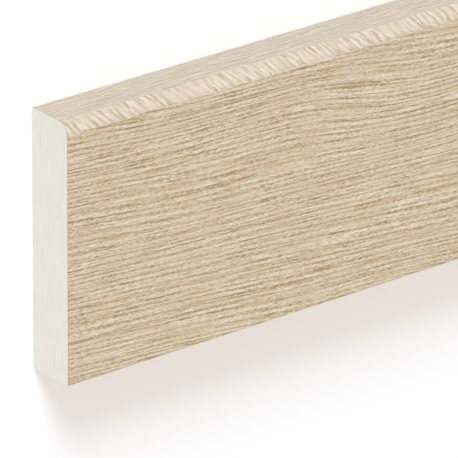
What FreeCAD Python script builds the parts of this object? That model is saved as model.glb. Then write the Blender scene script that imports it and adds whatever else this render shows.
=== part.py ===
import FreeCAD, Part
import math
import os

import Sketcher
from FreeCAD import Vector

# Skirting board length: one straight piece of moulded board stock, cut square at both ends.
#
# It lies on its wall face with the decor face up. X runs along the length, +Y points to the edge
# that is the top of the board on a wall, and +Z comes out of the decor face. The origin is the
# middle of the wall face. All sizes are in millimetres.

# Driving dimensions: each cell's name, its value and what it measures
SIZES = (
    ("board_length", 2400.0, "sold length, along X"),
    ("board_height", 70.0, "height of the board up the wall, along Y"),
    ("board_thickness", 14.0, "wall face to decor face, along Z"),
    ("front_edge_radius", 3.0, "rounding between the top edge and the decor face"),
)
SHEET = "sizes"
NODE = "skirting_board"

# A sketch names the two ends of a line or arc, and its own origin, by these numbers
START, END = 1, 2
ORIGIN = (-1, 1)


def make_sheet(doc):
    """The spreadsheet that drives the board: name in A, value in B, what it measures in C."""
    sheet = doc.addObject("Spreadsheet::Sheet", SHEET)
    for row, (name, value, meaning) in enumerate(SIZES, start=1):
        sheet.set(f"A{row}", name)
        sheet.set(f"B{row}", str(value))
        sheet.set(f"C{row}", meaning)
        sheet.setAlias(f"B{row}", name)
    doc.recompute()
    return sheet


def origin_plane(body, role):
    """The body's own origin plane that has this role."""
    return next(plane for plane in body.Origin.OriginFeatures if plane.Role == role)


def driven(sketch, name, sheet_cell, *geometry_and_ends):
    """A named dimension of the sketch, bound to a cell of the spreadsheet."""
    number = sketch.addConstraint(Sketcher.Constraint(*geometry_and_ends))
    sketch.renameConstraint(number, name)
    sketch.setExpression(f"Constraints.{name}", f"{SHEET}.{sheet_cell}")


def board_section(body, sheet):
    """The board's cross-section. Its x runs up the wall and its y runs out from the wall."""
    sketch = body.newObject("Sketcher::SketchObject", "board_section")
    sketch.AttachmentSupport = (origin_plane(body, "YZ_Plane"), [""])
    sketch.MapMode = "FlatFace"

    top = sheet.board_height / 2
    front = sheet.board_thickness
    radius = sheet.front_edge_radius
    corners = {
        "floor_back": Vector(-top, 0, 0),
        "top_back": Vector(top, 0, 0),
        "round_start": Vector(top, front - radius, 0),
        "round_end": Vector(top - radius, front, 0),
        "floor_front": Vector(-top, front, 0),
    }
    round_circle = Part.Circle(Vector(top - radius, front - radius, 0), Vector(0, 0, 1), radius)

    def straight(start, end):
        return sketch.addGeometry(Part.LineSegment(corners[start], corners[end]), False)

    wall_face = straight("floor_back", "top_back")
    top_edge = straight("top_back", "round_start")
    rounding = sketch.addGeometry(Part.ArcOfCircle(round_circle, 0, math.pi / 2), False)
    decor_face = straight("round_end", "floor_front")
    floor_edge = straight("floor_front", "floor_back")

    for rule in (
        ("Coincident", wall_face, END, top_edge, START),
        ("Tangent", top_edge, END, rounding, START),
        ("Tangent", rounding, END, decor_face, START),
        ("Coincident", decor_face, END, floor_edge, START),
        ("Coincident", floor_edge, END, wall_face, START),
        ("Horizontal", wall_face),
        ("Horizontal", decor_face),
        ("Vertical", top_edge),
        ("Vertical", floor_edge),
        ("Symmetric", wall_face, START, wall_face, END, *ORIGIN),
    ):
        sketch.addConstraint(Sketcher.Constraint(*rule))

    # The starting values are those of the sheet, which then drives them
    driven(sketch, "height", "board_height",
           "DistanceX", wall_face, START, wall_face, END, 2 * top)
    driven(sketch, "thickness", "board_thickness",
           "DistanceY", floor_edge, END, floor_edge, START, front)
    driven(sketch, "edge_radius", "front_edge_radius", "Radius", rounding, radius)
    return sketch


def make_board(doc, sheet):
    """The section run along the whole length, half to each side of the origin."""
    body = doc.addObject("PartDesign::Body", NODE)
    body.Label = NODE
    section = board_section(body, sheet)
    run = body.newObject("PartDesign::Pad", "board_run")
    run.Profile = section
    run.SideType = "Symmetric"
    run.setExpression("Length", f"{SHEET}.board_length")
    body.Placement = FreeCAD.Placement()
    return body


def check_document(doc):
    """Stops on a feature that failed without an error, or on a sketch that can still move."""
    for item in doc.Objects:
        faults = {"Invalid", "Error"} & set(item.State)
        if faults:
            raise RuntimeError(f"{item.Label} is {sorted(faults)}")
        if item.isDerivedFrom("Sketcher::SketchObject") and not item.FullyConstrained:
            raise RuntimeError(f"{item.Label} is not fully constrained")


def check_shape(body, sheet):
    """Stops unless the body is one valid solid of the section's area times the length."""
    shape = body.Shape
    if shape.isNull() or not shape.isValid() or len(shape.Solids) != 1:
        raise RuntimeError(f"{body.Label} is not one valid solid")
    cut_from_corner = (1 - math.pi / 4) * sheet.front_edge_radius**2
    section_area = sheet.board_height * sheet.board_thickness - cut_from_corner
    expected = section_area * sheet.board_length
    if not math.isclose(shape.Volume, expected, rel_tol=1e-6):
        raise RuntimeError(f"{body.Label} holds {shape.Volume} mm3, not {expected}")
    box = shape.BoundBox
    print(f"{body.Label}: {box.XLength:.1f} x {box.YLength:.1f} x {box.ZLength:.1f} mm, "
          f"{shape.Volume / 1e6:.4f} litres, {len(shape.Faces)} faces")


def main():
    doc = FreeCAD.newDocument("skirting_board_length")
    sheet = make_sheet(doc)
    board = make_board(doc, sheet)
    doc.recompute()

    check_document(doc)
    check_shape(board, sheet)
    os.makedirs("parts", exist_ok=True)
    board.Shape.exportStep(f"parts/{board.Label}.step")


main()
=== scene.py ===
# %% [markdown]
# # A skirting board length in light oak
#
# The real object is one straight piece of moulded board: a plain section run along a length and cut
# square at both ends. A pale fibreboard core shows at the cuts. The front, the small rounding above
# it and the top edge carry a light oak finish, with its fibres lying along the board.
#
# The shape is simple, so almost all of the likeness is in the surface: how long and how wide the
# fibres are, how they wander, how deep the brushed furrows lie and how the light rakes over them.

import math

import bpy
import numpy as np
from mathutils import Matrix, Vector


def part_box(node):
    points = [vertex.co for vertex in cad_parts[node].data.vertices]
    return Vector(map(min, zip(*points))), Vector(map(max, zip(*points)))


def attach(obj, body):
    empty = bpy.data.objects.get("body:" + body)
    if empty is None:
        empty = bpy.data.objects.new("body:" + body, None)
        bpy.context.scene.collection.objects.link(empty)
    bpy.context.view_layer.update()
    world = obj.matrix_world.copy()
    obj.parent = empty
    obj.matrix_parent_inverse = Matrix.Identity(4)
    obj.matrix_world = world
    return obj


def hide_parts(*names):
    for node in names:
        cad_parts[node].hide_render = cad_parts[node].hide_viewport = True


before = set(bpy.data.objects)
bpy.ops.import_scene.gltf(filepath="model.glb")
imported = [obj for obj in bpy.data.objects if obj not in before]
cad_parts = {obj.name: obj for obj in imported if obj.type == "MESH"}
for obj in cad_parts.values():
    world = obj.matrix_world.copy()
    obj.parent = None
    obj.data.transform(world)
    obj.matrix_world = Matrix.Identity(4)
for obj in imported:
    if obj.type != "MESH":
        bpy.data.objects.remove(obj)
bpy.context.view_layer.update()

NODE = "skirting_board"
MM = 0.001
low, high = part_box(NODE)
LENGTH, HEIGHT, THICKNESS = high - low
print("board, mm:", [round(v / MM, 1) for v in (LENGTH, HEIGHT, THICKNESS)])

# %% [markdown]
# ## The camera
#
# The board lies on its back here, while the eye reads it as a board on a wall. So the camera is
# described as it would stand before that wall: turned away from the wall's normal, tipped down a
# little, and far off behind a long lens, because the long edges hardly converge. Its place follows
# from one corner: where that corner falls in the picture, and how large a millimetre is there.

# %% Place the camera
SENSOR_MM, FARTHEST_SEEN = 36, 100
PICTURE_PX = 458
FOCAL_PX = 6758
YAW, PITCH, ROLL = (math.radians(a) for a in (38.582, 23.809, -0.381))
CORNER_PX = (68.06, 386.55)
PX_PER_MM = 4.0568

along, up_wall, out_of_wall = Vector((1, 0, 0)), Vector((0, 1, 0)), Vector((0, 0, 1))
corner = Vector((low.x, low.y, high.z))

forward = (along * math.sin(YAW) - out_of_wall * math.cos(YAW)) * math.cos(PITCH)
forward -= up_wall * math.sin(PITCH)
level = along * math.cos(YAW) + out_of_wall * math.sin(YAW)
below = forward.cross(level)
right = level * math.cos(ROLL) + below * math.sin(ROLL)
down = below * math.cos(ROLL) - level * math.sin(ROLL)

distance = FOCAL_PX / PX_PER_MM * MM
across_px, down_px = (px - PICTURE_PX / 2 for px in CORNER_PX)
offset = (right * across_px + down * down_px) / FOCAL_PX + forward

camera_data = bpy.data.cameras.new("camera")
camera_data.sensor_width = SENSOR_MM
camera_data.lens = FOCAL_PX / PICTURE_PX * SENSOR_MM
camera_data.clip_end = FARTHEST_SEEN
camera = bpy.data.objects.new("camera", camera_data)
turn = Matrix((right, -down, -forward)).transposed()
camera.matrix_world = Matrix.Translation(corner - offset * distance) @ turn.to_4x4()
bpy.context.scene.collection.objects.link(camera)
bpy.context.scene.camera = camera
print("camera", round(distance, 3), "m away, lens", round(camera_data.lens), "mm")

# %% [markdown]
# ## One helper for every node tree
#
# Materials and Geometry Nodes are both built from nodes, so one small function serves them all. It
# adds a node, sets its options, gives each input either a plain value or a link, and fills the
# stops of a colour ramp. A whole node given as an input stands for its first output. Colours are
# written as sRGB hex codes, as a paint card would give them, while a node wants linear values, so a
# second function turns one into the other.

# %% The colour function and the node helper
def colour(hex_code):
    """An sRGB hex colour such as "CEBBA1" as the linear red, green, blue and alpha of a node."""
    srgb = [int(hex_code[i : i + 2], 16) / 255 for i in (0, 2, 4)]
    return (*(v / 12.92 if v <= 0.04045 else ((v + 0.055) / 1.055) ** 2.4 for v in srgb), 1.0)


def add(tree, kind, *inputs, named=None, stops=(), **settings):
    """Adds a node. Its inputs, in order or by name, are values, outputs or whole nodes."""
    node = tree.nodes.new(kind)
    for name, value in settings.items():
        setattr(node, name, value)
    for i, (place, hex_code) in enumerate(stops):
        elements = node.color_ramp.elements
        stop = elements[i] if i < len(elements) else elements.new(place)
        stop.position, stop.color = place, colour(hex_code)
    sockets = [socket for socket in node.inputs if socket.enabled]
    wanted = list(zip(sockets, inputs))
    for name, value in (named or {}).items():
        wanted.append((next(socket for socket in sockets if socket.name == name), value))
    for socket, value in wanted:
        if isinstance(value, bpy.types.Node):
            value = next(output for output in value.outputs if output.enabled)
        if isinstance(value, bpy.types.NodeSocket):
            tree.links.new(value, socket)
        else:
            socket.default_value = value
    return node


print("mean oak colour, linear:", [round(v, 3) for v in colour("CEBBA1")[:3]])

# %% [markdown]
# ## The grain as a pair of coordinates
#
# Wood is described best in its own directions: along the fibres and across them. Both are worked
# out in millimetres from Object coordinates, so that the same pattern can be read by the shape and
# by the finish. Across the fibres the count runs over the girth: up the front, round the corner
# and back over the top edge, as a sheet of veneer would. A UV map could carry the same two
# numbers, but a formula needs no unwrapping and is exact on any point of the board.

# %% Measure round the section
EDGE_RADIUS = 3.0 * MM
ROUND_Y = high.y - EDGE_RADIUS
ROUND_Z = high.z - EDGE_RADIUS
TOP_STARTS = math.pi / 2 * EDGE_RADIUS / MM


def girth(tree, y, z):
    """Millimetres round the section: 0 where the rounding starts, less on the front, more above."""
    rise = add(tree, "ShaderNodeMath", y, ROUND_Y, operation="SUBTRACT")
    depth = add(tree, "ShaderNodeMath", z, ROUND_Z, operation="SUBTRACT")
    front = add(tree, "ShaderNodeMath", rise, 0.0, operation="MINIMUM")
    top = add(tree, "ShaderNodeMath", depth, 0.0, operation="MINIMUM")
    above = add(tree, "ShaderNodeMath", rise, 0.0, operation="MAXIMUM")
    outside = add(tree, "ShaderNodeMath", depth, 0.0, operation="MAXIMUM")
    angle = add(tree, "ShaderNodeMath", above, outside, operation="ARCTAN2")
    on_flats = add(tree, "ShaderNodeMath", front, top, operation="SUBTRACT")
    metres = add(tree, "ShaderNodeMath", angle, EDGE_RADIUS, on_flats, operation="MULTIPLY_ADD")
    return add(tree, "ShaderNodeMath", metres, MM, operation="DIVIDE")


print("front", round((ROUND_Y - low.y) / MM, 1), "mm, rounding", round(TOP_STARTS, 2), "mm,",
      "top", round((ROUND_Z - low.z) / MM, 1), "mm")

# %% [markdown]
# ## Two ways to draw fibres
#
# Noise that is squeezed across the grain and drawn out along it gives streaks that start, end and
# cross like the fibres of wood. It is right for whatever is irregular. But brushing also leaves
# lines at an even pitch, and noise leaves bare patches between them. The Gabor texture is made of
# short waves that all run one way, and its phase says how far through a wave each point is. A
# cosine of that phase gives lines that keep their pitch, fork here and there, and never fade out.

# %% Draw streaks and even lines
# Noise runs from 0 to 1 but seldom leaves this middle part, so a pattern that needs contrast has
# this part stretched over the whole range
NOISE_SPAN = (0.35, 0.65)


def streaks(tree, s, t, length, width, seed, detail=0.0):
    """Noise drawn out along the fibres, with marks about this long and this wide in millimetres."""
    along_cells = add(tree, "ShaderNodeMath", s, length, operation="DIVIDE")
    across_cells = add(tree, "ShaderNodeMath", t, width, operation="DIVIDE")
    place = add(tree, "ShaderNodeCombineXYZ", along_cells, across_cells, seed)
    return add(tree, "ShaderNodeTexNoise", place, named={"Scale": 1.0, "Detail": detail})


def even_lines(tree, s, t, length, pitch):
    """Lines at this pitch, about this long, that fork and end: 0 between two of them, 1 on one."""
    along_cells = add(tree, "ShaderNodeMath", s, length, operation="DIVIDE")
    across_cells = add(tree, "ShaderNodeMath", t, pitch, operation="DIVIDE")
    place = add(tree, "ShaderNodeCombineXYZ", along_cells, across_cells, 0.0)
    waves = add(tree, "ShaderNodeTexGabor", place, named={
        "Scale": 1.0, "Frequency": 1.0, "Anisotropy": 1.0, "Orientation": math.pi / 2})
    angle = add(tree, "ShaderNodeMath", waves.outputs["Phase"], 2 * math.pi, operation="MULTIPLY")
    wave = add(tree, "ShaderNodeMath", angle, operation="COSINE")
    return add(tree, "ShaderNodeMapRange", wave, -1.0, 1.0, 0.0, 1.0)


print("noise between", *NOISE_SPAN, "counts as the whole range of a pattern")

# %% [markdown]
# ## Grain that runs out of true
#
# Real grain never runs quite parallel to a board. Here it falls a few degrees towards the far end,
# wanders by some millimetres over a hand's width, and ripples finely. All three are added to the
# across coordinate before any fibre is drawn, so every layer of the finish bends together. The
# wide, shallow furrows that brushing cuts follow the same bent grain. They are deep enough to be
# real shape, so they are kept apart from the finish and moved into the mesh later.

# %% Bend the grain and lay out the furrows
GRAIN_FALL = math.tan(math.radians(4.3))
WANDER_LENGTH, WANDER_WIDTH, WANDER = 60.0, 25.0, 3.0
RIPPLE_LENGTH, RIPPLE_WIDTH, RIPPLE = 6.0, 2.0, 0.1
FURROW_LENGTH, FURROW_WIDTH, FURROW_SPAN = 40.0, 2.2, (0.3, 0.7)


def bent_grain(tree, s, t):
    """The across coordinate after the grain's fall, its slow wander and its fine ripple."""
    fallen = add(tree, "ShaderNodeMath", s, GRAIN_FALL, t, operation="MULTIPLY_ADD")
    wander = streaks(tree, s, t, WANDER_LENGTH, WANDER_WIDTH, seed=12.04)
    wander = add(tree, "ShaderNodeMapRange", wander, 0.0, 1.0, -WANDER, WANDER)
    ripple = streaks(tree, s, t, RIPPLE_LENGTH, RIPPLE_WIDTH, seed=8.4, detail=1.0)
    ripple = add(tree, "ShaderNodeMapRange", ripple, 0.0, 1.0, -RIPPLE, RIPPLE)
    shift = add(tree, "ShaderNodeMath", wander, ripple, operation="ADD")
    return add(tree, "ShaderNodeMath", fallen, shift, operation="ADD")


def furrows(tree, s, t):
    """The wide, shallow furrows that brushing leaves, 0 on the crests and 1 in the hollows."""
    rows = streaks(tree, s, t, FURROW_LENGTH, FURROW_WIDTH, seed=5.7, detail=1.0)
    return add(tree, "ShaderNodeMapRange", rows, *FURROW_SPAN, 0.0, 1.0)


print("the grain falls", round(GRAIN_FALL * LENGTH / MM), "mm over the whole board")

# %% [markdown]
# ## The board's section
#
# A moulder pushes stock past a turning cutter, so the board is one section run along a line. The
# section has most of its points on the front, where the furrows are cut, and few on the hidden
# back. The three sharp corners get a tiny rounding, an arris, because a knife edge on real board
# breaks at the first knock. Beside each arris the flats have one point more, so that smooth shading
# turns within the arris and leaves the flats flat.

# %% Draw the section
ARRIS = 0.3 * MM
FRONT_PITCH = 0.47 * MM
BACK_STEPS, TOP_STEPS, FLOOR_STEPS = 8, 22, 4
ROUND_STEPS, ARRIS_STEPS = 12, 3


def straight(start, end, steps):
    """Points from start up to, but not at, end."""
    return [Vector(start).lerp(Vector(end), i / steps) for i in range(steps)]


def flat(start, end, steps):
    """Points from start up to, but not at, end, with one more point close to each."""
    inset = (Vector(end) - Vector(start)).normalized() * ARRIS
    inner = straight(Vector(start) + inset, Vector(end) - inset, steps)
    return [Vector(start), *inner, Vector(end) - inset]


def arc(centre, radius, start_degrees, steps):
    """A quarter turn of points about a centre, up to, but not at, its end."""
    angles = (math.radians(start_degrees + 90 * i / steps) for i in range(steps))
    return [Vector(centre) + radius * Vector((math.cos(a), math.sin(a))) for a in angles]


def section_points():
    """The section as (y, z), from the floor end of the wall face and round by the top edge."""
    bottom, top, back, front = low.y, high.y, low.z, high.z
    steps_down = round((ROUND_Y - bottom - ARRIS) / FRONT_PITCH)
    return [
        *flat((bottom + ARRIS, back), (top - ARRIS, back), BACK_STEPS),
        *arc((top - ARRIS, back + ARRIS), ARRIS, -90, ARRIS_STEPS),
        *straight((top, back + ARRIS), (top, ROUND_Z), TOP_STEPS),
        *arc((ROUND_Y, ROUND_Z), EDGE_RADIUS, 0, ROUND_STEPS),
        *straight((ROUND_Y, front), (bottom + ARRIS, front), steps_down),
        *arc((bottom + ARRIS, front - ARRIS), ARRIS, 90, ARRIS_STEPS),
        *flat((bottom, front - ARRIS), (bottom, back + ARRIS), FLOOR_STEPS),
        *arc((bottom + ARRIS, back + ARRIS), ARRIS, 180, ARRIS_STEPS),
    ]


points = section_points()
section = bpy.data.curves.new("section", "CURVE")
section.dimensions = "3D"
outline = section.splines.new("POLY")
outline.points.add(len(points) - 1)
for outline_point, (y, z) in zip(outline.points, points):
    outline_point.co = (y, z, 0, 1)
outline.use_cyclic_u = True
print("section:", len(points), "points")

# %% [markdown]
# ## Brushed light oak: the front
#
# The finish is oak, brushed along the fibres and given a matt lacquer. Brushing takes out the soft
# early wood, so the eye gets dark lines about a millimetre and a half apart with paler ridges
# between them, thinner threads in and beside those lines, and short flecks where pores open. Some
# patches are calm and some are bold, and the colour drifts between tan and greyish beige.
#
# A wood texture could be one Wave node bent by noise, but its stripes are too regular. Here each of
# the things that the eye sees is a layer of its own, read from the same bent grain, and one value
# from 0 in a furrow to 1 on a ridge carries them all. It drives both the colour and the relief, so
# that what is dark also lies deep.

# %% Mix the front's fibres
FIBRE_LENGTH, FIBRE_PITCH, FIBRE_SHARPNESS = 40.0, 1.6, 0.6
THREAD_LENGTH, THREAD_WIDTH, THREAD_SHARE = 9.0, 0.45, 0.6
FLECK_LENGTH, FLECK_WIDTH, FLECK_SHARE = 0.9, 0.45, 0.44
CALM_LENGTH, CALM_WIDTH, CALM_CONTRAST = 12.0, 4.0, 0.65
FIBRE_MEAN, FIBRE_SPAN = 0.52, (0.29, 0.74)


def front_fibres(tree, s, t):
    """The brushed fibres: 0 in a furrow, 1 on a ridge."""
    lines = even_lines(tree, s, t, FIBRE_LENGTH, FIBRE_PITCH)
    lines = add(tree, "ShaderNodeMath", lines, FIBRE_SHARPNESS, operation="POWER")
    threads = streaks(tree, s, t, THREAD_LENGTH, THREAD_WIDTH, seed=1.3)
    flecks = streaks(tree, s, t, FLECK_LENGTH, FLECK_WIDTH, seed=2.6)
    mixed = add(tree, "ShaderNodeMix", THREAD_SHARE, lines, threads)
    mixed = add(tree, "ShaderNodeMix", FLECK_SHARE, mixed, flecks)
    bold = streaks(tree, s, t, CALM_LENGTH, CALM_WIDTH, seed=4.9)
    bold = add(tree, "ShaderNodeMapRange", bold, *NOISE_SPAN, CALM_CONTRAST, 1.0)
    mixed = add(tree, "ShaderNodeMix", bold, FIBRE_MEAN, mixed)
    return add(tree, "ShaderNodeMapRange", mixed, *FIBRE_SPAN, 0.0, 1.0)


print("brushed lines up the front:", round((ROUND_Y - low.y) / MM / FIBRE_PITCH))

# %% [markdown]
# ## The front's shades
#
# Light oak isn't one brown with darker and lighter versions of itself. Its furrows are a greyish
# tan, the wood between is sand, and the ridges are nearly cream. A colour ramp read by the fibres'
# value gives each height its own shade. Over it goes a very weak tint, greenish here and rosy
# there, that changes within a few millimetres, because no two bundles of fibres take the same
# stain. A stronger tint would look painted.

# %% Colour the front
OAK_SHADES = [(0.0, "AA8F6C"), (0.3, "C4AE8D"), (0.55, "D2BFA5"), (1.0, "E7D8C9")]
DRIFT_TINTS = [(0.0, "FAFDF8"), (0.5, "FFFFFF"), (1.0, "FFF9F5")]
DRIFT_LENGTH, DRIFT_WIDTH = 8.0, 0.6


def front_colour(tree, s, t, fibres):
    """The oak's shades, with a tint that drifts from fibre to fibre."""
    shades = add(tree, "ShaderNodeValToRGB", fibres, stops=OAK_SHADES)
    drift = streaks(tree, s, t, DRIFT_LENGTH, DRIFT_WIDTH, seed=6.9)
    drift = add(tree, "ShaderNodeMapRange", drift, *NOISE_SPAN, 0.0, 1.0)
    tint = add(tree, "ShaderNodeValToRGB", drift, stops=DRIFT_TINTS)
    return add(tree, "ShaderNodeMix", 1.0, shades, tint, data_type="RGBA", blend_type="MULTIPLY")


print("from", OAK_SHADES[0][1], "in the furrows to", OAK_SHADES[-1][1], "on the ridges")

# %% [markdown]
# ## The rounding
#
# On the rounding the cutter has gone across the fibres, so it is paler than the front and marked
# with short strokes, two or three millimetres apart. They stand upright at the top edge and sweep
# back along the board at the front. The strokes are the same even lines, turned through a right
# angle: the girth takes the place of the length. The sweep is a square law added to the other
# coordinate. Over the strokes lies painted light and shade: the tone is painted lightest at the
# front's border and darker towards the top edge, against the low lamp's shading of the curve.

# %% Mark the rounding
MARK_SWEEP, MARK_WANDER, MARK_WANDER_LENGTH = 2.5, 0.6, 4.0
MARK_LENGTH, MARK_PITCH = 4.0, 2.4
HAIR_LENGTH, HAIR_WIDTH, HAIR_SHARE = 3.0, 0.55, 0.74
PLAIN_LENGTH, PLAIN_CONTRAST, PLAIN_SPAN = 5.0, 0.4, (0.35, 0.6)
MARK_MEAN, MARK_SPAN = 0.5, (0.27, 0.74)
GRIT_LENGTH, GRIT_WIDTH, GRIT_SHARE = 0.5, 0.35, 0.25
MARK_SHADES = [(0.0, "A79877"), (0.3, "C4B59C"), (0.5, "D6C8B6"), (1.0, "EDE3DA")]
# Painted light: lighter at the front's border, darker up the curve, against the lamp's shading
PAINTED_LIGHT_TINTS, PAINTED_LIGHT_WIDTH = [(0.0, "FFFFFF"), (1.0, "E0E0DE")], 3.2


def rounding_marks(tree, s, d):
    """Short strokes across the rounding, upright at the top edge and swept along at the front."""
    down_it = add(tree, "ShaderNodeMapRange", d, TOP_STARTS, 0.0, 0.0, 1.0)
    sweep = add(tree, "ShaderNodeMath", down_it, 2.0, operation="POWER")
    swept = add(tree, "ShaderNodeMath", sweep, -MARK_SWEEP, s, operation="MULTIPLY_ADD")
    wander = streaks(tree, s, d, MARK_WANDER_LENGTH, MARK_WANDER_LENGTH, seed=6.1, detail=1.0)
    swept = add(tree, "ShaderNodeMath", wander, 2 * MARK_WANDER, swept, operation="MULTIPLY_ADD")
    marks = even_lines(tree, d, swept, MARK_LENGTH, MARK_PITCH)
    hairs = streaks(tree, d, swept, HAIR_LENGTH, HAIR_WIDTH, seed=4.2, detail=1.0)
    marks = add(tree, "ShaderNodeMix", HAIR_SHARE, marks, hairs)
    bold = streaks(tree, swept, d, PLAIN_LENGTH, PLAIN_LENGTH, seed=5.5)
    bold = add(tree, "ShaderNodeMapRange", bold, *PLAIN_SPAN, PLAIN_CONTRAST, 1.0)
    marks = add(tree, "ShaderNodeMix", bold, MARK_MEAN, marks)
    grit = streaks(tree, s, d, GRIT_LENGTH, GRIT_WIDTH, seed=3.9, detail=1.0)
    mixed = add(tree, "ShaderNodeMix", GRIT_SHARE, marks, grit)
    return add(tree, "ShaderNodeMapRange", mixed, *MARK_SPAN, 0.0, 1.0)


def rounding_colour(tree, d, marks):
    """The strokes' shades, with painted light that makes them lightest at the front's border."""
    shades = add(tree, "ShaderNodeValToRGB", marks, stops=MARK_SHADES)
    # Painted light and shade that evens out the lamp's shading over the curve
    painted_light = add(tree, "ShaderNodeMapRange", d, 0.0, PAINTED_LIGHT_WIDTH, 0.0, 1.0)
    tint = add(tree, "ShaderNodeValToRGB", painted_light, stops=PAINTED_LIGHT_TINTS)
    return add(tree, "ShaderNodeMix", 1.0, shades, tint, data_type="RGBA", blend_type="MULTIPLY")


print("strokes along the rounding:", round(LENGTH / MM / MARK_PITCH))

# %% [markdown]
# ## The top edge
#
# The top edge is the same oak seen on its narrow side: greyer, smoother, with fine straight lines
# a millimetre apart and hardly any relief. Its shades are darker than the front's: partly its
# greyer tone, partly painted shade that offsets the low lamp's stronger light on this side. It
# needs no new pattern. Even lines make most of it, the softer streaks break them up, and it has
# more of the rounding's fine grit.

# %% Line the top edge
LINE_LENGTH, LINE_PITCH, LINE_SPAN = 5.0, 1.1, (0.27, 0.73)
BAND_SHARE, TOP_GRIT_SHARE = 0.35, 0.375
# Partly painted shade: darker than the front's oak to offset the low lamp's stronger light here
TOP_SHADES = [(0.0, "A69989"), (0.5, "B4A99A"), (1.0, "C2B8AA")]


def top_lines(tree, s, d):
    """Fine straight lines along the top edge."""
    lines = even_lines(tree, s, d, LINE_LENGTH, LINE_PITCH)
    bands = streaks(tree, s, d, 2 * LINE_LENGTH, LINE_PITCH, seed=2.2, detail=1.0)
    grit = streaks(tree, s, d, GRIT_LENGTH, GRIT_WIDTH, seed=8.8, detail=1.0)
    mixed = add(tree, "ShaderNodeMix", BAND_SHARE, lines, bands)
    mixed = add(tree, "ShaderNodeMix", TOP_GRIT_SHARE, mixed, grit)
    return add(tree, "ShaderNodeMapRange", mixed, *LINE_SPAN, 0.0, 1.0)


print("lines across the top edge:", round((ROUND_Z - low.z) / MM / LINE_PITCH))

# %% [markdown]
# ## The oak's borders
#
# Where one surface meets the next, real board shows more than a change of tone. The front ends in a
# thin brown line that comes and goes, and the borders waver by a fraction of a millimetre. The oak
# is also darker in a hair line round each end. Each is a narrow range of the girth or of the
# length, mixed over the colour below it.

# %% Darken the oak's borders
BORDER_LINE, BORDER_DARKEST, BORDER_SHADE, BORDER_STRENGTH = 0.3, 0.1, "A58C64", 0.3
BORDER_PATCH, BORDER_SPAN = 12.0, (0.45, 0.65)
CUT_RIM, CUT_SHADE, CUT_STRENGTH = 0.3 * MM, "9A875F", 0.5
WOBBLE_LENGTH, WOBBLE = 2.5, 0.4


def border_line(tree, s, d, painted):
    """The thin brown line, now stronger and now fainter, where the front meets the rounding."""
    away = add(tree, "ShaderNodeMath", d, operation="ABSOLUTE")
    on_line = add(tree, "ShaderNodeMapRange", away, BORDER_DARKEST, BORDER_LINE, 1.0, 0.0)
    strength = streaks(tree, s, d, BORDER_PATCH, BORDER_PATCH, seed=3.3)
    strength = add(tree, "ShaderNodeMapRange", strength, *BORDER_SPAN, 0.0, BORDER_STRENGTH)
    on_line = add(tree, "ShaderNodeMath", on_line, strength, operation="MULTIPLY")
    return add(tree, "ShaderNodeMix", on_line, painted, colour(BORDER_SHADE), data_type="RGBA")


def cut_rim(tree, x, painted):
    """The darker hair line round the oak at each end."""
    from_middle = add(tree, "ShaderNodeMath", x, operation="ABSOLUTE")
    on_rim = add(tree, "ShaderNodeMapRange", from_middle,
                 LENGTH / 2 - CUT_RIM, LENGTH / 2 - CUT_RIM / 2, 0.0, CUT_STRENGTH)
    return add(tree, "ShaderNodeMix", on_rim, painted, colour(CUT_SHADE), data_type="RGBA")


def wavering(tree, s, d):
    """The girth with a small wobble, so that no border is ruler straight."""
    wobble = streaks(tree, s, d, WOBBLE_LENGTH, WOBBLE_LENGTH, seed=7.7, detail=2.0)
    wobble = add(tree, "ShaderNodeMapRange", wobble, 0.0, 1.0, -WOBBLE, WOBBLE)
    return add(tree, "ShaderNodeMath", d, wobble, operation="ADD")


print("hair line at each end:", round(CUT_RIM / MM, 2), "mm")

# %% [markdown]
# ## The oak as one material
#
# The three surfaces are one sheet of finish, so they are one material, and the girth says which of
# them each point is on. Matt lacquer on open fibres scatters light broadly, which is a roughness of
# 0.6, with the 1.5 of lacquer for its refraction. The fibres' height is real, about a quarter of a
# millimetre from furrow to ridge, but finer than the mesh, so Bump stands in for it.

# %% Put the oak together
FIBRE_HEIGHT = 0.235 * MM
MARK_RELIEF, LINE_RELIEF = 0.45, 0.5
LACQUER_ROUGHNESS, LACQUER_IOR = 0.6, 1.5
FRONT_BLEND, TOP_BLEND = 0.15, 0.2


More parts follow.
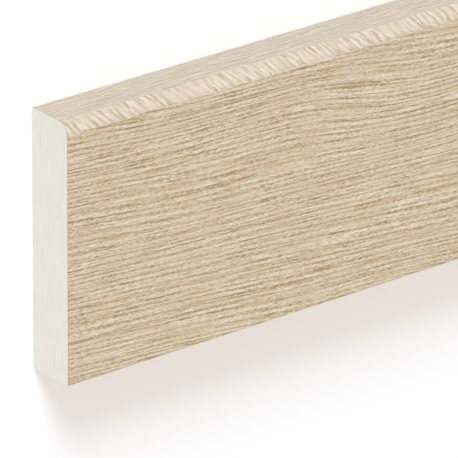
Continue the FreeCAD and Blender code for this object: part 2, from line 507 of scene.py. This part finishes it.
def oak_material():
    """Brushed, lacquered light oak on the front, the rounding and the top edge."""
    material = bpy.data.materials.new("brushed_light_oak")
    material.use_nodes = True
    tree = material.node_tree
    tree.nodes.clear()
    place = add(tree, "ShaderNodeTexCoord").outputs["Object"]
    xyz = add(tree, "ShaderNodeSeparateXYZ", place)
    s = add(tree, "ShaderNodeMath", xyz.outputs["X"], MM, operation="DIVIDE")
    d = girth(tree, xyz.outputs["Y"], xyz.outputs["Z"])
    t = bent_grain(tree, s, d)

    fibres = front_fibres(tree, s, t)
    marks = rounding_marks(tree, s, d)
    lines = top_lines(tree, s, d)
    border = wavering(tree, s, d)
    past_front = add(tree, "ShaderNodeMapRange", border, -FRONT_BLEND, FRONT_BLEND, 0.0, 1.0)
    past_round = add(tree, "ShaderNodeMapRange", border,
                     TOP_STARTS - TOP_BLEND, TOP_STARTS + TOP_BLEND, 0.0, 1.0)

    front = front_colour(tree, s, t, fibres)
    rounding = rounding_colour(tree, d, marks)
    top = add(tree, "ShaderNodeValToRGB", lines, stops=TOP_SHADES)
    painted = add(tree, "ShaderNodeMix", past_front, front, rounding, data_type="RGBA")
    painted = add(tree, "ShaderNodeMix", past_round, painted, top, data_type="RGBA")
    painted = border_line(tree, s, border, painted)
    painted = cut_rim(tree, xyz.outputs["X"], painted)

    marks_height = add(tree, "ShaderNodeMath", marks, MARK_RELIEF, operation="MULTIPLY")
    lines_height = add(tree, "ShaderNodeMath", lines, LINE_RELIEF, operation="MULTIPLY")
    height = add(tree, "ShaderNodeMix", past_front, fibres, marks_height)
    height = add(tree, "ShaderNodeMix", past_round, height, lines_height)
    bump = add(tree, "ShaderNodeBump", named={
        "Strength": 1.0, "Distance": FIBRE_HEIGHT, "Height": height})
    shader = add(tree, "ShaderNodeBsdfPrincipled", named={
        "Base Color": painted, "Roughness": LACQUER_ROUGHNESS, "IOR": LACQUER_IOR, "Normal": bump})
    add(tree, "ShaderNodeOutputMaterial", shader)
    return material


oak = oak_material()
print(oak.name, len(oak.node_tree.nodes), "nodes")

# %% [markdown]
# ## The core
#
# Under the oak the board is pale fibreboard: wood fibre pressed in layers with resin, then sawn and
# sanded. It is nearly white. The layers show as faint lines that run up the cut end, broken into
# short tufts where the saw tore them. Sanded fibre is dull and a little fluffy, which is a high
# roughness and a bump of a few hundredths of a millimetre. One plain colour would do from afar, but
# the cut end is the side that a hand holds up to the eye. The hidden back and the floor edge are
# the same board.

# %% Make the fibreboard
LAYER_LENGTH, LAYER_WIDTH = 8.0, 0.28
TUFT_LENGTH, TUFT_SHARE = 1.2, 0.5
CORE_SHADES = [(0.0, "DBD7CE"), (0.5, "E1DDD4"), (1.0, "E7E3DB")]
FLUFF_SIZE, FLUFF_HEIGHT = 0.6 * MM, 0.02 * MM
SANDED_ROUGHNESS, RESIN_IOR = 0.75, 1.5


def core_material():
    """Sawn and sanded fibreboard at the ends, on the back and on the floor edge."""
    material = bpy.data.materials.new("pale_fibreboard")
    material.use_nodes = True
    tree = material.node_tree
    tree.nodes.clear()
    place = add(tree, "ShaderNodeTexCoord").outputs["Object"]
    xyz = add(tree, "ShaderNodeSeparateXYZ", place)
    y_mm = add(tree, "ShaderNodeMath", xyz.outputs["Y"], MM, operation="DIVIDE")
    z_mm = add(tree, "ShaderNodeMath", xyz.outputs["Z"], MM, operation="DIVIDE")
    layers = streaks(tree, y_mm, z_mm, LAYER_LENGTH, LAYER_WIDTH, seed=1.9)
    tufts = streaks(tree, y_mm, z_mm, TUFT_LENGTH, LAYER_WIDTH, seed=7.1, detail=1.0)
    layers = add(tree, "ShaderNodeMix", TUFT_SHARE, layers, tufts)
    layers = add(tree, "ShaderNodeMapRange", layers, *NOISE_SPAN, 0.0, 1.0)
    painted = add(tree, "ShaderNodeValToRGB", layers, stops=CORE_SHADES)
    fluff = add(tree, "ShaderNodeTexNoise", place, named={"Scale": 1 / FLUFF_SIZE, "Detail": 2.0})
    bump = add(tree, "ShaderNodeBump", named={
        "Strength": 1.0, "Distance": FLUFF_HEIGHT, "Height": fluff})
    shader = add(tree, "ShaderNodeBsdfPrincipled", named={
        "Base Color": painted, "Roughness": SANDED_ROUGHNESS, "IOR": RESIN_IOR, "Normal": bump})
    add(tree, "ShaderNodeOutputMaterial", shader)
    return material


core = core_material()
print(core.name, len(core.node_tree.nodes), "nodes")

# %% [markdown]
# ## Running the moulding
#
# Curve to Mesh does what the moulder does: the section is a closed curve, the path is a straight
# line, and the caps are the saw cuts. A stretched box with a bevel would give the same outline, but
# no points along its length to cut the furrows into. The path has a station about every five
# millimetres. Furrows are forty millimetres long, so they still bend smoothly, and the piece stays
# light enough to export whole. Four small functions build the tree: run the section, lay the board
# down, cut the furrows, and give each face its finish.

# %% Run the section and lay the board down
STATIONS = 451


def run_section(tree, profile, length, stations):
    """The section run along a path that is drawn upwards, so that the section needs no turning."""
    half = add(tree, "ShaderNodeMath", length, 2.0, operation="DIVIDE")
    minus_half = add(tree, "ShaderNodeMath", length, -2.0, operation="DIVIDE")
    start = add(tree, "ShaderNodeCombineXYZ", 0.0, 0.0, minus_half)
    end = add(tree, "ShaderNodeCombineXYZ", 0.0, 0.0, half)
    path = add(tree, "GeometryNodeCurvePrimitiveLine", named={"Start": start, "End": end})
    path = add(tree, "GeometryNodeResampleCurve", named={"Curve": path, "Count": stations})
    return add(tree, "GeometryNodeCurveToMesh", named={
        "Curve": path, "Profile Curve": profile, "Fill Caps": True})


def lay_down(tree, board):
    """The upright board laid on its wall face: what was drawn as x, y, z becomes y, z, x."""
    drawn = add(tree, "ShaderNodeSeparateXYZ", add(tree, "GeometryNodeInputPosition"))
    laid = add(tree, "ShaderNodeCombineXYZ",
               drawn.outputs["Z"], drawn.outputs["X"], drawn.outputs["Y"])
    return add(tree, "GeometryNodeSetPosition", named={"Geometry": board, "Position": laid})


print("a station every", round(LENGTH / (STATIONS - 1) / MM, 2), "mm")

# %% [markdown]
# ## Cutting the furrows
#
# Brushing presses hardest in the middle of a board, and its furrows run out before the edges. Bump
# would fake them from straight ahead, but the lamp here is low, and a raking light shows the
# difference. So Set Position moves the front's own points inwards by a tenth of a millimetre at
# most. Inwards only, because the board may not grow past its own plain size.

# %% Cut the furrows
FURROW_DEPTH = 0.1 * MM
FADE_AT_TOP, FADE_AT_FLOOR = (-1.0, -3.0), (0.5, 2.5)
STRAIGHT_OUT = 0.99


def cut_furrows(tree, board, depth):
    """Furrows cut inwards, on the flat front only, that run out before its two borders."""
    xyz = add(tree, "ShaderNodeSeparateXYZ", add(tree, "GeometryNodeInputPosition"))
    normal = add(tree, "ShaderNodeSeparateXYZ", add(tree, "GeometryNodeInputNormal")).outputs
    s = add(tree, "ShaderNodeMath", xyz.outputs["X"], MM, operation="DIVIDE")
    d = girth(tree, xyz.outputs["Y"], xyz.outputs["Z"])
    hollow = furrows(tree, s, bent_grain(tree, s, d))
    on_front = add(tree, "ShaderNodeMath", normal["Z"], STRAIGHT_OUT, operation="GREATER_THAN")
    floor_line = (low.y - ROUND_Y) / MM
    near_floor = (floor_line + v for v in FADE_AT_FLOOR)
    from_top = add(tree, "ShaderNodeMapRange", d, *FADE_AT_TOP, 0.0, 1.0)
    from_floor = add(tree, "ShaderNodeMapRange", d, *near_floor, 0.0, 1.0)
    fade = add(tree, "ShaderNodeMath", from_top, from_floor, operation="MULTIPLY")
    cut = add(tree, "ShaderNodeMath", hollow, depth, operation="MULTIPLY")
    cut = add(tree, "ShaderNodeMath", cut, fade, operation="MULTIPLY")
    inwards = add(tree, "ShaderNodeCombineXYZ", 0.0, 0.0,
                  add(tree, "ShaderNodeMath", cut, -1.0, operation="MULTIPLY"))
    return add(tree, "GeometryNodeSetPosition", named={
        "Geometry": board, "Selection": on_front, "Offset": inwards})


print("furrows up to", round(FURROW_DEPTH / MM, 2), "mm deep")

# %% [markdown]
# ## Which face is which
#
# The faces could be picked by number, but the numbers change as soon as a step count does. Their
# normals don't: a face that looks along the board is a saw cut, one that looks out or up carries
# oak, and the rest is bare core. The cuts are shaded flat and the run smooth, because the rim of a
# saw cut is sharp. Each cut is one face with two hundred corners, so Triangulate divides it with
# care here, before another program does it in a hurry and leaves slivers with no area. Set Material
# comes last, and before it Realize Instances turns whatever the tree has made into real mesh.

# %% Give each face its finish
ENDWAYS, OUT_OR_UP = 0.9, 0.1


def finish_faces(tree, board, oak_input, core_input):
    """Saw cuts flat and in triangles, the rest shaded smooth, and oak on what faces out or up."""
    normal = add(tree, "ShaderNodeSeparateXYZ", add(tree, "GeometryNodeInputNormal")).outputs
    endways = add(tree, "ShaderNodeMath", normal["X"], operation="ABSOLUTE")
    is_cut = add(tree, "ShaderNodeMath", endways, ENDWAYS, operation="GREATER_THAN")
    is_run = add(tree, "ShaderNodeMath", endways, ENDWAYS, operation="LESS_THAN")
    board = add(tree, "GeometryNodeSetShadeSmooth", named={
        "Geometry": board, "Selection": is_run, "Shade Smooth": True})
    board = add(tree, "GeometryNodeSetShadeSmooth", named={
        "Geometry": board, "Selection": is_cut, "Shade Smooth": False})
    board = add(tree, "GeometryNodeTriangulate", named={"Mesh": board, "Selection": is_cut})
    out_or_up = add(tree, "ShaderNodeMath", normal["Y"], normal["Z"], operation="MAXIMUM")
    is_oak = add(tree, "ShaderNodeMath", out_or_up, OUT_OR_UP, operation="GREATER_THAN")
    board = add(tree, "GeometryNodeRealizeInstances", named={"Geometry": board})
    board = add(tree, "GeometryNodeSetMaterial", named={"Geometry": board, "Material": core_input})
    return add(tree, "GeometryNodeSetMaterial", named={
        "Geometry": board, "Selection": is_oak, "Material": oak_input})


print("a face that leans over", round(math.degrees(math.acos(ENDWAYS))), "degrees is no saw cut")

# %% [markdown]
# ## The whole tree
#
# The tree takes its sizes and its two finishes as named inputs, so it can be used again for another
# board: only the section curve and the numbers change. Nothing in it is drawn at random, because
# each pattern's seed is a fixed number.

# %% Build the tree
def moulding_tree():
    """The whole run of the moulding, from a section curve to a finished board."""
    tree = bpy.data.node_groups.new("run_moulding", "GeometryNodeTree")
    sockets = {
        "Geometry": "NodeSocketGeometry",
        "Length": "NodeSocketFloat",
        "Stations": "NodeSocketInt",
        "Furrow depth": "NodeSocketFloat",
        "Oak": "NodeSocketMaterial",
        "Core": "NodeSocketMaterial",
    }
    for name, kind in sockets.items():
        tree.interface.new_socket(name, in_out="INPUT", socket_type=kind)
    tree.interface.new_socket("Geometry", in_out="OUTPUT", socket_type="NodeSocketGeometry")
    given = add(tree, "NodeGroupInput").outputs
    board = run_section(tree, given["Geometry"], given["Length"], given["Stations"])
    board = cut_furrows(tree, lay_down(tree, board), given["Furrow depth"])
    add(tree, "NodeGroupOutput", finish_faces(tree, board, given["Oak"], given["Core"]))
    return tree


moulding = moulding_tree()
print(moulding.name, len(moulding.nodes), "nodes")

# %% [markdown]
# ## From the tree to a plain mesh
#
# The tree hangs on the section curve as a modifier, and its inputs are set by their identifiers
# before anything is evaluated. It could stay live, but a model that leaves Blender should hold no
# recipe. So what comes out is copied to a mesh of its own, and the curve and its modifier go.

# %% Make the board
drawing = bpy.data.objects.new("section", section)
bpy.context.scene.collection.objects.link(drawing)
modifier = drawing.modifiers.new("run", "NODES")
modifier.node_group = moulding
wanted = {
    "Length": LENGTH, "Stations": STATIONS, "Furrow depth": FURROW_DEPTH, "Oak": oak, "Core": core,
}
for item in moulding.interface.items_tree:
    if item.in_out == "INPUT" and item.name in wanted:
        modifier[item.identifier] = wanted[item.name]

evaluated = drawing.evaluated_get(bpy.context.evaluated_depsgraph_get())
mesh = bpy.data.meshes.new_from_object(evaluated)
mesh.name = "oak_skirting_board"
board = bpy.data.objects.new("oak_skirting_board", mesh)
bpy.context.scene.collection.objects.link(board)
bpy.data.objects.remove(drawing)
print(len(mesh.vertices), "points,", len(mesh.loop_triangles), "triangles,",
      [m.name for m in mesh.materials])

# %% [markdown]
# ## A map for the finish
#
# The materials read Object coordinates and need no map. But a model that leaves Blender carries its
# finish as square pictures, laid on by a UV map. The board is over thirty times as long as it is
# high, and one thin strip would blur the fibres. So the map cuts the board into four lengths, one
# above another. The first is the end that is looked at closely: it is the shortest length and gets
# the tallest row, which draws its fibres three times as fine. The oak gets most of each row, and
# the plain back and floor edge the rest. The two cut ends have their own place beside the rows.

# %% Lay out the map
LENGTH_CUTS = np.array([0.0, 0.1, 0.4, 0.7, 1.0])
ROW_LEVELS = np.array([0.0, 0.37, 0.58, 0.79, 1.0])
GAP, ROW_GAP = 0.006, 0.015
ROWS_END, OAK_SHARE = 0.945, 0.88
END_WIDTH, END_HEIGHT, FAR_END_LEVEL = 0.04, 0.3, 0.5


def spread(value, start, end):
    """The values of an array stretched to run from start to end."""
    share = (value - value.min()) / (value.max() - value.min())
    return start + share * (end - start)


def map_corners(mesh):
    """The place on the map of every corner of every face, as an array of u and v."""
    faces = np.repeat(np.arange(len(mesh.polygons)), [len(face.vertices) for face in mesh.polygons])
    normal = np.array([face.normal for face in mesh.polygons])[faces]
    middle = np.array([face.center for face in mesh.polygons])[faces, 0]
    slot = np.array([face.material_index for face in mesh.polygons])[faces]
    place = np.array([vertex.co for vertex in mesh.vertices])
    x, y, z = place[[loop.vertex_index for loop in mesh.loops]].T

    row = np.searchsorted(LENGTH_CUTS, (middle - low.x) / LENGTH) - 1
    cut, next_cut = LENGTH_CUTS[row], LENGTH_CUTS[row + 1]
    u = GAP + ((x - low.x) / LENGTH - cut) / (next_cut - cut) * (ROWS_END - GAP)
    rise, depth = y - ROUND_Y, z - ROUND_Z
    turn = np.arctan2(np.maximum(rise, 0), np.maximum(depth, 0)) * EDGE_RADIUS
    around_oak = np.minimum(rise, 0) - np.minimum(depth, 0) + turn
    around_core = (y - low.y) - (z - low.z)

    is_oak = slot == mesh.materials.find(oak.name)
    is_cut = np.abs(normal[:, 0]) > ENDWAYS
    is_core = ~is_oak & ~is_cut
    v = np.zeros_like(u)
    v[is_oak] = spread(around_oak[is_oak], ROW_GAP, OAK_SHARE - ROW_GAP)
    v[is_core] = spread(around_core[is_core], OAK_SHARE + ROW_GAP, 1 - ROW_GAP)
    v = ROW_LEVELS[row] + v * (ROW_LEVELS[row + 1] - ROW_LEVELS[row])

    u[is_cut] = spread(z[is_cut], 1 - GAP - END_WIDTH, 1 - GAP)
    v[is_cut] = spread(y[is_cut], GAP, END_HEIGHT) + np.where(x[is_cut] > 0, FAR_END_LEVEL, 0.0)
    return np.column_stack((u, v))


layer = mesh.uv_layers.new(name="OFBake")
places = map_corners(mesh)
layer.uv.foreach_set("vector", places.ravel())
print("map from", places.min(0).round(3), "to", places.max(0).round(3))

# %% [markdown]
# ## What the piece stands for
#
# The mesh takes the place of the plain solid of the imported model, moves with its only body, and
# names the material that it is made of.

# %% Say what the piece is
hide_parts(NODE)
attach(board, "root")
print(board.name, "stands for", NODE)

# %% [markdown]
# ## The floor
#
# The board lies on a sheet of white paper that runs out of the picture. A floor lit to pure white
# would need so much light that the board would be too bright as well. So the paper is a plain
# matt white for the light that it throws back at the board. Where the camera sees it, straight or
# through a gloss, it is a darker, cooler paper with a warm glow of its own. Together they are white
# in full light. The shade then fades out slowly, to the end of the lamp's half shadow, and the warm
# glow over the cooler paper gives it a painted warm beige tint.

# %% Lay the floor
HALF_FLOOR, FLOOR_GAP = 20.0, 0.2 * MM
# The cool seen paper and the warm glow paint a warm beige tint into the floor's shade
PAPER, SEEN_PAPER, GLOW = "F4F4F4", "C5E2FA", "B48B50"


def seen_directly(tree):
    """1 for the rays that the camera sees, straight or through gloss or glass, 0 for the rest."""
    rays = add(tree, "ShaderNodeLightPath").outputs
    seen = add(tree, "ShaderNodeMath", rays["Is Camera Ray"], rays["Is Glossy Ray"],
               operation="ADD")
    return add(tree, "ShaderNodeMath", seen, rays["Is Transmission Ray"],
               operation="ADD", use_clamp=True)


floor_mesh = bpy.data.meshes.new("floor")
corners = [(x, y, low.z - FLOOR_GAP) for x, y in ((-1, -1), (1, -1), (1, 1), (-1, 1))]
corners = [(x * HALF_FLOOR, y * HALF_FLOOR, z) for x, y, z in corners]
floor_mesh.from_pydata(corners, [], [(0, 1, 2, 3)])
floor = bpy.data.objects.new("floor", floor_mesh)
bpy.context.scene.collection.objects.link(floor)

paper = bpy.data.materials.new("white_paper")
paper.use_nodes = True
tree = paper.node_tree
tree.nodes.clear()
seen = seen_directly(tree)
sheet = add(tree, "ShaderNodeMix", seen, colour(PAPER), colour(SEEN_PAPER), data_type="RGBA")
lit = add(tree, "ShaderNodeBsdfDiffuse", sheet)
glow = add(tree, "ShaderNodeEmission", colour(GLOW), seen)
add(tree, "ShaderNodeOutputMaterial", add(tree, "ShaderNodeAddShader", lit, glow))
floor_mesh.materials.append(paper)
print("floor", 2 * HALF_FLOOR, "m wide,", round(FLOOR_GAP / MM, 1), "mm under the board")

# %% [markdown]
# ## The light
#
# Two thirds of the light comes from a soft, even sky, and the rest from one low, wide lamp behind
# the top edge. The lamp rakes over the front, so that ridges catch light and furrows hold shade,
# and it draws the soft shadow below the board. A higher lamp would flatten the grain, and a lower
# one would make the top edge glare. Together they light a flat sheet to a strength of one, at which
# a colour renders about as it is written.

# %% Light the scene
SKY = 0.67
LAMP_ON_FLOOR = 0.34
LAMP_HEIGHT, LAMP_TURN, LAMP_SPREAD = (math.radians(a) for a in (24.5, 21, 24))

world = bpy.data.worlds.new("studio")
bpy.context.scene.world = world
world.use_nodes = True
tree = world.node_tree
tree.nodes.clear()
strength = add(tree, "ShaderNodeMapRange", seen_directly(tree), 0.0, 1.0, SKY, 1.0)
add(tree, "ShaderNodeOutputWorld", add(tree, "ShaderNodeBackground", colour("FFFFFF"), strength))

lamp_data = bpy.data.lights.new("low_lamp", "SUN")
lamp_data.energy = LAMP_ON_FLOOR * math.pi / math.sin(LAMP_HEIGHT)
lamp_data.angle = LAMP_SPREAD
lamp = bpy.data.objects.new("low_lamp", lamp_data)
to_lamp = Vector((-math.sin(LAMP_TURN), math.cos(LAMP_TURN), math.tan(LAMP_HEIGHT)))
lamp.rotation_euler = to_lamp.to_track_quat("Z", "Y").to_euler()
bpy.context.scene.collection.objects.link(lamp)
print("lamp energy", round(lamp_data.energy, 2), "towards", tuple(round(v, 2) for v in to_lamp))

# %% [markdown]
# ## The view transform
#
# The standard view transform shows colours as they are written.

# %% Set the view transform
bpy.context.scene.view_settings.view_transform = "Standard"
